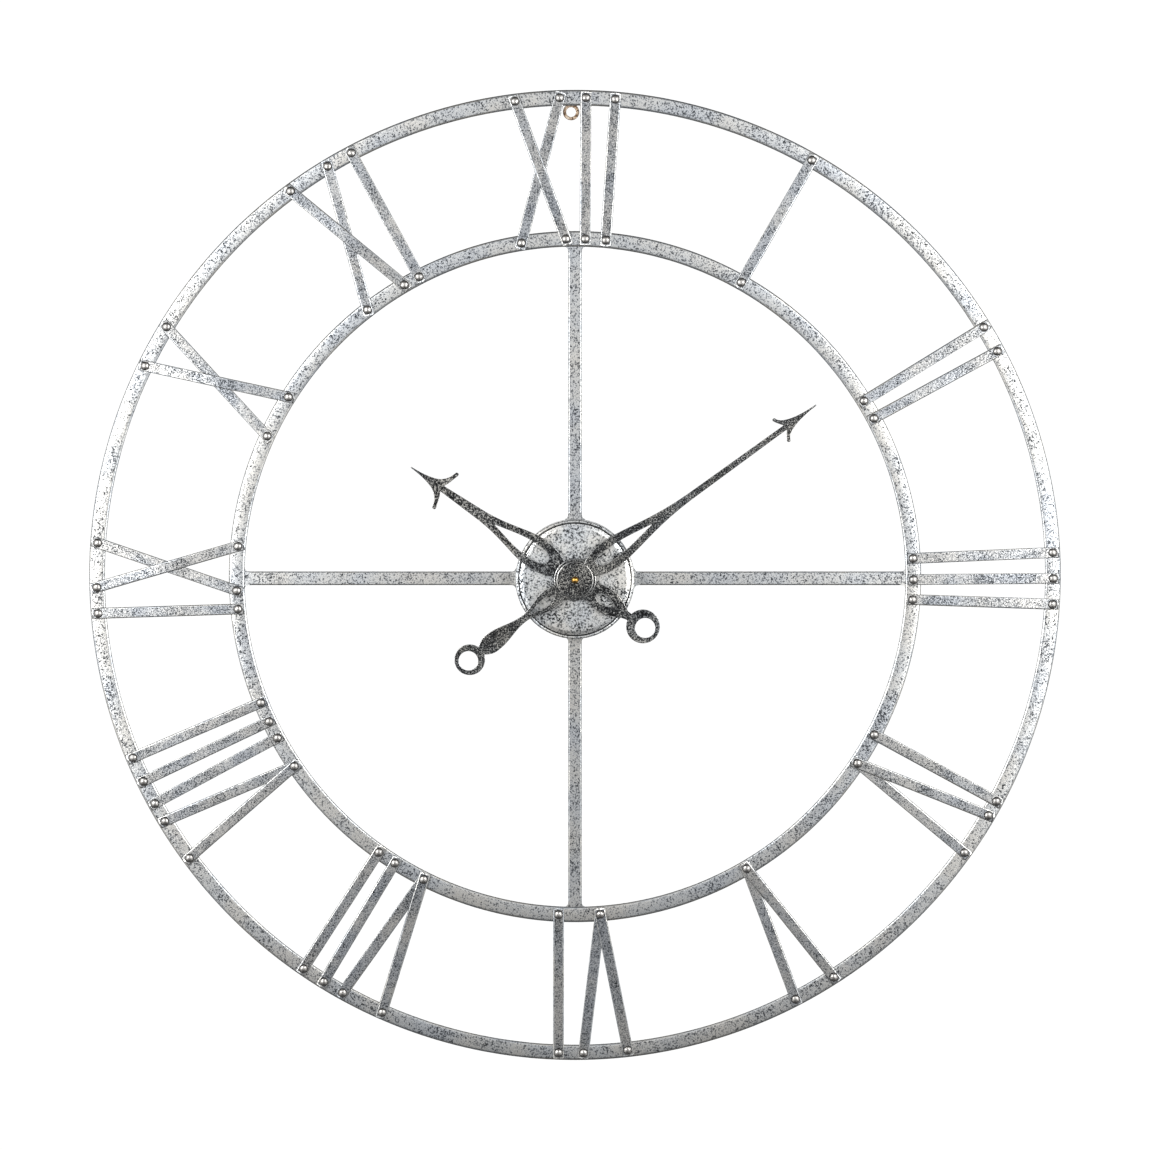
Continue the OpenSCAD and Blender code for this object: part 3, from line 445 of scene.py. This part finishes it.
# A geometry tree with named inputs, from {name: kind of socket}.
def startTree(name, inputs):
    tree = bpy.data.node_groups.new(name, "GeometryNodeTree")
    tree.interface.new_socket("Geometry", in_out="INPUT", socket_type="NodeSocketGeometry")
    for label, kind in inputs.items():
        tree.interface.new_socket(label, in_out="INPUT", socket_type="NodeSocket" + kind)
    tree.interface.new_socket("Geometry", in_out="OUTPUT", socket_type="NodeSocketGeometry")
    return tree, addNode(tree, "NodeGroupInput").outputs


# Ends a tree with real faces in one material, and the chosen ones in another.
def endTree(tree, geometry, material, chosen, otherMaterial):
    real = addNode(tree, "GeometryNodeRealizeInstances", {0: geometry})
    plain = addNode(tree, "GeometryNodeSetMaterial", {0: real.outputs[0], "Material": material})
    some = addNode(tree, "GeometryNodeSetMaterial", {
        0: plain.outputs[0], "Selection": chosen, "Material": otherMaterial})
    addNode(tree, "NodeGroupOutput", {0: some.outputs[0]})


# Runs a tree on a mesh, with its inputs set by identifier, and keeps a plain mesh. Slots
# left empty in front of the materials are dropped.
def growMesh(tree, values, start=None):
    holder = bpy.data.objects.new(tree.name, start or bpy.data.meshes.new(tree.name))
    scene.collection.objects.link(holder)
    modifier = holder.modifiers.new(tree.name, "NODES")
    modifier.node_group = tree
    for socket in tree.interface.items_tree:
        if socket.in_out == "INPUT" and socket.name in values:
            modifier[socket.identifier] = values[socket.name]
    mesh = bakeMesh(holder)
    while mesh.materials[0] is None:
        mesh.materials.pop(index=0)
    return mesh


# Rolled hoop: the section of a strap with broad oval edges, swept round a circle that
# faces -Y. The section is made narrow with round corners, and then stretched.
def hoopTree():
    tree, given = startTree("rolled_hoop", {
        "Middle radius": "Float", "Width": "Float", "Thickness": "Float", "Edge width": "Float",
        "Edge height": "Float", "Middle depth": "Float", "Segments": "Int", "Flatness": "Float",
        "Material": "Material", "Edge material": "Material"})
    stretch = addNode(tree, "ShaderNodeMath", operation="DIVIDE", inputs={
        0: given["Edge width"], 1: given["Edge height"]})
    narrow = addNode(tree, "ShaderNodeMath", operation="DIVIDE", inputs={
        0: given["Width"], 1: stretch.outputs[0]})
    section = addNode(tree, "GeometryNodeCurvePrimitiveQuadrilateral", {
        "Width": narrow.outputs[0], "Height": given["Thickness"]})
    rounded = addNode(tree, "GeometryNodeFilletCurve", {
        "Curve": section.outputs[0], "Count": 5, "Radius": given["Edge height"]}, mode="POLY")
    wide = addNode(tree, "ShaderNodeCombineXYZ", {"X": stretch.outputs[0], "Y": 1.0, "Z": 1.0})
    strap = addNode(tree, "GeometryNodeTransform", {
        "Geometry": rounded.outputs[0], "Scale": wide.outputs[0]})
    ring = addNode(tree, "GeometryNodeCurvePrimitiveCircle", {
        "Resolution": given["Segments"], "Radius": given["Middle radius"]})
    swept = addNode(tree, "GeometryNodeCurveToMesh", {
        "Curve": ring.outputs[0], "Profile Curve": strap.outputs[0]})
    depth = addNode(tree, "ShaderNodeCombineXYZ", {"Y": given["Middle depth"]})
    upright = addNode(tree, "GeometryNodeTransform", {
        "Geometry": swept.outputs[0], "Rotation": (math.radians(90), 0, 0),
        "Translation": depth.outputs[0]})
    normal = addNode(tree, "GeometryNodeInputNormal").outputs[0]
    facing = addNode(tree, "ShaderNodeSeparateXYZ", {0: normal})
    flatness = addNode(tree, "ShaderNodeMath", {0: facing.outputs["Y"]}, operation="ABSOLUTE")
    rolled = addNode(tree, "ShaderNodeMath", operation="LESS_THAN", inputs={
        0: flatness.outputs[0], 1: given["Flatness"]})
    endTree(tree, upright.outputs[0], given["Material"], rolled.outputs[0], given["Edge material"])
    return tree


# The edges' width and height are in millimetres. Faces whose normal is nearer to Y than the
# flatness are the strap's flat, not its edge.
hoop = {"edgeWidth": 2.2, "edgeHeight": 1.2, "flatness": 0.99, "segments": 720}
rolledHoop = hoopTree()
for node in ("outer_hoop", "inner_hoop"):
    inner, outer, front, back = nodeReach(node)
    mesh = growMesh(rolledHoop, {
        "Middle radius": (inner + outer) / 2, "Width": outer - inner, "Thickness": back - front,
        "Edge width": hoop["edgeWidth"] * mm, "Edge height": hoop["edgeHeight"] * mm,
        "Middle depth": (front + back) / 2, "Segments": hoop["segments"],
        "Flatness": hoop["flatness"], "Material": galvanisedStrap, "Edge material": wornEdgeAndHighlight})
    mesh.shade_smooth()
    mesh.set_sharp_from_angle(angle=math.radians(bench["sharp"]))
    addPiece(node + "_rolled", mesh, node)
print("stage: hoops rolled")


# Set rivets: one modelled rivet on each point, turned and leant a little at random, as a
# hammer leaves them.
def rivetTree():
    tree, given = startTree("set_rivets", {
        "Rivet": "Object", "Lean": "Float", "Spread": "Float", "Seed": "Int", "Material": "Material",
        "Foot material": "Material"})
    model = addNode(tree, "GeometryNodeObjectInfo", {"Object": given["Rivet"]})
    backwards = addNode(tree, "ShaderNodeMath", {0: given["Lean"], 1: -1.0}, operation="MULTIPLY")
    least = addNode(tree, "ShaderNodeCombineXYZ", {
        "X": backwards.outputs[0], "Y": 0.0, "Z": backwards.outputs[0]})
    most = addNode(tree, "ShaderNodeCombineXYZ", {
        "X": given["Lean"], "Y": math.tau, "Z": given["Lean"]})
    turn = addNode(tree, "FunctionNodeRandomValue", data_type="FLOAT_VECTOR", inputs={
        0: least.outputs[0], 1: most.outputs[0], "Seed": given["Seed"]})
    small = addNode(tree, "ShaderNodeMath", {0: 1.0, 1: given["Spread"]}, operation="SUBTRACT")
    size = addNode(tree, "FunctionNodeRandomValue", data_type="FLOAT", inputs={
        2: small.outputs[0], 3: 1.0, "Seed": given["Seed"]})
    placed = addNode(tree, "GeometryNodeInstanceOnPoints", {
        "Points": given["Geometry"], "Instance": model.outputs["Geometry"],
        "Rotation": turn.outputs[0], "Scale": size.outputs[1]})
    # The foot faces round each head take a near-black painted shade.
    foot = addNode(tree, "GeometryNodeInputNamedAttribute", {"Name": "foot"}, data_type="BOOLEAN")
    endTree(tree, placed.outputs[0], given["Material"], foot.outputs[0], given["Foot material"])
    return tree


# The separate solids in a CAD node, as lists of their corners, clockwise from six o'clock.
def solidsOf(node):
    bm = bmesh.new()
    bm.from_mesh(frame["nodes"][node].data)
    bmesh.ops.remove_doubles(bm, verts=bm.verts, dist=bench["merge"] * mm)
    left = set(bm.verts)
    solids = []
    while left:
        solid = []
        waiting = [next(iter(left))]
        while waiting:
            vertex = waiting.pop()
            if vertex in left:
                left.discard(vertex)
                solid.append(vertex.co.copy())
                waiting.extend(link.other_vert(vertex) for link in vertex.link_edges)
        solids.append(solid)
    bm.free()
    return sorted(solids, key=lambda solid: math.atan2(*middleOf(solid, 0)[::2]))


# The middle of a solid as the dial shows it, at a depth along Y.
def middleOf(solid, depth):
    across = [co.x for co in solid]
    up = [co.z for co in solid]
    return (min(across) + max(across)) / 2, depth, (min(up) + max(up)) / 2


# A rivet about the Y axis, its seat at the origin: a low dome in front with a rounded rim,
# a shank, and a tail that was hammered to a cushion.
def rivetMesh(name, headRadius, headHeight, seatToTail, tailHeight, look):
    rim = look["rim"] * mm
    shank = look["shank"] * mm
    tail = look["tail"] * mm
    steps = look["steps"]
    head = []
    for i in range(steps):
        a = math.radians(90 * i / steps)
        away = (headRadius - rim) * math.cos(a) ** look["fullness"] + rim * math.cos(a)
        head.append((away, -headHeight * math.sin(a)))
    profile = [(0, -headHeight)] + head[::-1] + [(shank, 0), (shank, seatToTail)]
    for wide, high in look["tailShape"]:
        profile.append((tail * wide, seatToTail + tailHeight * high))
    mesh = turnedMesh(name, profile, look["segments"])
    # Faces round the head's foot are marked for the painted shade.
    foot = mesh.attributes.new("foot", "BOOLEAN", "FACE")
    for face in mesh.polygons:
        away = math.hypot(face.center.x, face.center.z)
        foot.data[face.index].value = face.center.y < 0 and away > headRadius * look["footFrom"]
    return mesh


# Sizes are in millimetres. The tail's shape is in shares of its radius and of its height,
# the foot, where shade is painted, starts at a share of the head's radius, the lean is in
# degrees, and the spread is the share by which a rivet may be smaller.
rivet = {"rim": 0.4, "shank": 2.0, "tail": 3.0, "tailHeight": 1.0, "headHeight": 2.4,
         "fullness": 0.9, "footFrom": 0.84, "steps": 9, "segments": 28,
         "tailShape": ((0.96, 0), (1, 0.35), (0.85, 0.85), (0.5, 1), (0, 1)),
         "lean": 1.2, "spread": 0.02, "seed": 12}
setRivets = rivetTree()
for node in ("outer_rivets", "inner_rivets", "vee_rivets"):
    solids = solidsOf(node)
    depths = [co.y for co in solids[0]]
    across = [co.x for co in solids[0]]
    headHeight = rivet["headHeight"] * mm
    tailHeight = rivet["tailHeight"] * mm
    seat = min(depths) + headHeight
    headRadius = (max(across) - min(across)) / 2
    model = bpy.data.objects.new(node + "_model", rivetMesh(
        node + "_model", headRadius, headHeight, max(depths) - seat - tailHeight, tailHeight, rivet))
    scene.collection.objects.link(model)
    points = bpy.data.meshes.new(node + "_points")
    points.from_pydata([middleOf(solid, seat) for solid in solids], [], [])
    mesh = growMesh(setRivets, {
        "Rivet": model, "Lean": math.radians(rivet["lean"]), "Spread": rivet["spread"],
        "Seed": rivet["seed"], "Material": tumbledRivet, "Foot material": paintedRecessShade}, points)
    bpy.data.objects.remove(model)
    addPiece(node + "_set", mesh, node)
    print("stage:", len(solids), "rivets set for", node)


# Spun hub: a side wall, a beaded rim, a groove inside the bead, and a face that rises a
# little to its flat middle. Spinning leaves every corner soft, and the bottom of the groove
# is painted near-black as shade. Sizes are in millimetres; an ease is how far a soft corner
# reaches across and along Y, and the one inside has its first point a little raised.
hub = {"wall": 1.5, "face": 1.5, "bead": 2.8, "beadRise": 0.6, "beadSteps": 14,
       "cove": 4.0, "coveDrop": 0.9, "coveLip": 0.1, "coveSteps": 8,
       "hole": 4.15, "holeEase": 0.25, "backEase": (0.2, 0.3), "insideEase": (0.8, 0.3, 1.1),
       "shadeWidth": 0.9, "segments": 256}


def spunHub(look):
    outer, front, back = nodeReach("hub_cup")[1:]
    wall = look["wall"] * mm
    bead = look["bead"] * mm
    cove = look["cove"] * mm
    face = front + look["beadRise"] * mm
    groove = outer - bead
    flat = groove - cove
    backAcross, backDeep = look["backEase"]
    profile = [(outer - wall, back), (outer - backAcross * mm, back), (outer, back - backDeep * mm)]
    middle = (outer - bead / 2, front + bead / 2)
    profile += roundPoints(middle, bead / 2, 0, -180, look["beadSteps"])
    profile.append((groove - look["coveLip"] * mm, face + look["coveDrop"] * mm))
    for i in range(1, look["coveSteps"] + 1):
        share = i / look["coveSteps"]
        drop = look["coveDrop"] * mm * (1 - share) ** 2 * (1 + 2 * share)
        profile.append((groove - cove * share, face + drop))
    hole = look["hole"] * mm
    soft = look["holeEase"] * mm
    profile += [(hole + soft, face), (hole, face + soft)]
    inside = face + look["face"] * mm
    across, raised, deep = look["insideEase"]
    profile += [(hole, inside), (flat, inside), (outer - wall - across * mm, inside + raised * mm)]
    profile.append((outer - wall, inside + deep * mm))
    mesh = turnedMesh("hub_cup_spun", profile, look["segments"])
    mesh.materials.append(galvanisedCup)
    mesh.materials.append(paintedRecessShade)
    # Faces in the bottom of the groove take the painted shade.
    for polygon in mesh.polygons:
        away = math.hypot(polygon.center.x, polygon.center.z)
        inShade = abs(away - groove) < look["shadeWidth"] / 2 * mm and polygon.center.y < inside
        polygon.material_index = 1 if inShade else 0
    return mesh


addPiece("hub_cup_spun", spunHub(hub), "hub_cup")
print("stage: hub spun")


# Cut pieces: the width by which front edges are broken, in millimetres, the share of it for
# the other edges, the steps of the rounding, the least length of a broken edge in
# millimetres, and the finishes of faces and edges.
cutPieces = {
    "spoke_": (1.2, 0.4, 5, 20, galvanisedStrap, wornEdgeAndHighlight),
    "numeral_": (1.0, 0.25, 4, 2, galvanisedBar, wornEdgeAndHighlight),
    "hanging_eye": (0.7, 0.5, 3, 0.35, brownedLug),
    "hour_hand": (0.3, 0.6, 3, 0.35, patinatedSheet, rubbedEdgeAndHighlight),
    "minute_hand": (0.3, 0.6, 3, 0.35, patinatedSheet, rubbedEdgeAndHighlight),
    "mounting_nut": (0.25, 1, 2, 1, turnedBrass),
    "bush_washer": (0.08, 1, 2, 0.35, turnedBrass),
    "hub_gasket": (0.1, 1, 2, 0.35, cutRubber),
    "movement_case": (0.25, 1, 2, 2, blackAbs),
    "rear_cover": (0.25, 1, 2, 2, blackAbs),
    "setting_knob": (0.2, 1, 2, 0.35, redAbs),
    "train_plate": (0.1, 1, 1, 1, naturalAcetal),
    "circuit_board": (0.06, 1, 1, 1, maskedLaminate),
    "motor_stator": (0.08, 1, 1, 1, stampedIron),
}
for node in frame["nodes"]:
    for start, recipe in cutPieces.items():
        if node.startswith(start):
            easeNode(node, *recipe)
print("stage: cut pieces eased")


# AA cell: a can with rolled shoulders, a recess round its button and a flat base. Sizes are
# in millimetres, but for the recess's start, which is in shoulder radii from the side.
cell = {"shoulder": 0.8, "shoulderSteps": 5, "recess": 0.25, "recessFrom": 1.6, "button": 2.7,
        "buttonHeight": 1.3, "buttonFoot": 0.4, "buttonEase": 0.3, "segments": 64}


def cellMesh(look):
    low, high = (Vector(corner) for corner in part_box("battery"))
    radius = (high.z - low.z) / 2
    length = high.x - low.x
    soft = look["shoulder"] * mm
    button = look["button"] * mm
    top = length - look["buttonHeight"] * mm
    recess = top - look["recess"] * mm
    ease = look["buttonEase"] * mm
    profile = [(0, 0), (radius - soft, 0)]
    profile += roundPoints((radius - soft, soft), soft, -90, 0, look["shoulderSteps"])
    profile += roundPoints((radius - soft, top - soft), soft, 0, 90, look["shoulderSteps"])
    profile.append((radius - look["recessFrom"] * soft, recess))
    profile += [(button + look["buttonFoot"] * mm, recess), (button, top)]
    profile += [(button, length - ease), (button - ease, length), (0, length)]
    mesh = turnedMesh("battery_sleeved", profile, look["segments"])
    lying = Matrix.Rotation(math.radians(-90), 4, "Z")
    end = (low.x, (low.y + high.y) / 2, (low.z + high.z) / 2)
    mesh.transform(Matrix.Translation(end) @ lying)
    return mesh


batteryLow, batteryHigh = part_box("battery")
sleeved = shrinkSleeve(batteryLow[0], batteryHigh[0], sleeve)
addPiece("battery_sleeved", cellMesh(cell), "battery", sleeved)
print("stage: battery made")


# These keep their CAD shape, and take a finish.
carriedOver = {
    "battery_contacts": springStrip, "motor_coil": woundCopper, "motor_rotor": groundFerrite,
    "middle_wheel": naturalAcetal, "third_wheel": naturalAcetal, "centre_wheel": naturalAcetal,
    "motion_wheel": naturalAcetal, "hour_wheel": naturalAcetal, "minute_arbor": turnedBrass,
}
for node, material in carriedOver.items():
    for place in frame["nodes"][node].material_slots:
        place.material = material
print("stage: carried-over nodes finished")


# Soft studio. Its levels: front, ahead of the clock, falling to low beneath it; side, to
# the left and right; dark, overhead and underfoot; band, square to the clock's edges, which
# draws its outlines; white, behind, and wherever the room itself is seen. Each span is the
# part of an axis, from -1 to 1, over which one level turns into the next. The panels'
# power is in watts, and their size and place are in metres.
studio = {"white": 1.05, "front": 0.58, "low": 0.04, "side": 0.95, "dark": 0.06, "band": 0.16,
          "frontSpan": (-0.17, 0.14), "sideSpan": (0.16, 0.6), "darkSpan": (0.3, 0.75),
          "bandSpan": (-0.1, 0.1), "whiteSpan": (0.5, 0.66),
          "panelPower": 20, "panelSize": (0.6, 1.1), "panelPlace": (0.95, -1.45, 0.3)}


def studioWorld(look):
    world = bpy.data.worlds.new("studio")
    world.use_nodes = True
    scene.world = world
    tree = world.node_tree
    tree.nodes.clear()
    toward = addNode(tree, "ShaderNodeTexCoord").outputs["Generated"]
    parts = addNode(tree, "ShaderNodeSeparateXYZ", {"Vector": toward})
    height = addNode(tree, "ShaderNodeMath", {0: parts.outputs["Z"]}, operation="ABSOLUTE")
    sideways = addNode(tree, "ShaderNodeMath", {0: parts.outputs["X"]}, operation="ABSOLUTE")
    front = addNode(tree, "ShaderNodeMapRange", {
        "Value": parts.outputs["Z"], "From Min": look["frontSpan"][0],
        "From Max": look["frontSpan"][1], "To Min": look["low"], "To Max": look["front"]})
    side = addNode(tree, "ShaderNodeMapRange", {
        "Value": sideways.outputs[0],
        "From Min": look["sideSpan"][0], "From Max": look["sideSpan"][1]})
    room = addNode(tree, "ShaderNodeMix", {
        "Factor": side.outputs[0], "A": front.outputs[0], "B": look["side"]})
    pole = addNode(tree, "ShaderNodeMapRange", {
        "Value": height.outputs[0],
        "From Min": look["darkSpan"][0], "From Max": look["darkSpan"][1]})
    shaded = addNode(tree, "ShaderNodeMix", {
        "Factor": pole.outputs[0], "A": room.outputs["Result"], "B": look["dark"]})
    band = addNode(tree, "ShaderNodeMapRange", {
        "Value": parts.outputs["Y"],
        "From Min": look["bandSpan"][0], "From Max": look["bandSpan"][1]})
    banded = addNode(tree, "ShaderNodeMix", {
        "Factor": band.outputs[0], "A": shaded.outputs["Result"], "B": look["band"]})
    behind = addNode(tree, "ShaderNodeMapRange", {
        "Value": parts.outputs["Y"],
        "From Min": look["whiteSpan"][0], "From Max": look["whiteSpan"][1]})
    level = addNode(tree, "ShaderNodeMix", {
        "Factor": behind.outputs[0], "A": banded.outputs["Result"], "B": look["white"]})
    seen = addNode(tree, "ShaderNodeLightPath").outputs["Is Camera Ray"]
    shown = addNode(tree, "ShaderNodeMix", {
        "Factor": seen, "A": level.outputs["Result"], "B": look["white"]})
    light = addNode(tree, "ShaderNodeBackground", {
        "Color": (1, 1, 1, 1), "Strength": shown.outputs["Result"]})
    addNode(tree, "ShaderNodeOutputWorld", {"Surface": light.outputs[0]})


studioWorld(studio)
for side in (-1, 1):
    panel = bpy.data.lights.new("side_panel", "AREA")
    panel.shape = "RECTANGLE"
    panel.size, panel.size_y = studio["panelSize"]
    panel.energy = studio["panelPower"]
    holder = bpy.data.objects.new("side_panel", panel)
    scene.collection.objects.link(holder)
    x, y, z = studio["panelPlace"]
    holder.location = (side * x, y, z)
    holder.rotation_euler = (-holder.location).to_track_quat("-Z", "Y").to_euler()

# Painted floor, a round slab below the clock. Its own glow keeps it pale away from the lamps.
slab = {"drop": 0.8, "radius": 3.0, "thickness": 0.01, "glow": 0.42, "segments": 96}
floorMesh = turnedMesh("studio_floor", [
    (0, 0), (slab["radius"], 0), (slab["radius"], slab["thickness"]), (0, slab["thickness"])],
    slab["segments"])
laid = Matrix.Rotation(math.radians(-90), 4, "X")
floorMesh.transform(Matrix.Translation((0, 0, cadLow.z - slab["drop"])) @ laid)
paleFloor = moulded("pale_floor_paint", {
    "fixed": {"Emission Color": (1, 1, 1, 1), "Emission Strength": slab["glow"]},
    "grain": 1.5, "roughDark": 0.8, "roughPale": 0.7, "relief": 0.05,
    "stops": {0.35: "#f1f0ee", 0.65: "#f8f7f5"}})
floorMesh.materials.append(paleFloor)
floor = bpy.data.objects.new("studio_floor", floorMesh)
scene.collection.objects.link(floor)
floor.visible_glossy = False
scene.view_settings.view_transform = "Standard"
print("stage: studio lit")

# The camera stands a little above the middle of the hoops and looks at it. Distances are in
# metres; at the clock's front it sees the half width to each side.
view = {"distance": 3.0, "elevation": 3.0, "aimHeight": 0.0028, "halfWidth": 0.4731, "sensor": 36}
lens = bpy.data.cameras.new("camera")
lens.sensor_width = view["sensor"]
lens.lens = lens.sensor_width * view["distance"] / (2 * view["halfWidth"])
camera = bpy.data.objects.new("camera", lens)
scene.collection.objects.link(camera)
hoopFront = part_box("outer_hoop")[0][1]
aim = Vector((0, hoopFront, view["aimHeight"]))
rise = math.radians(view["elevation"])
camera.location = aim + view["distance"] * Vector((0, -math.cos(rise), math.sin(rise)))
camera.rotation_euler = (aim - camera.location).to_track_quat("-Z", "Y").to_euler()
scene.camera = camera
print("stage: camera placed")
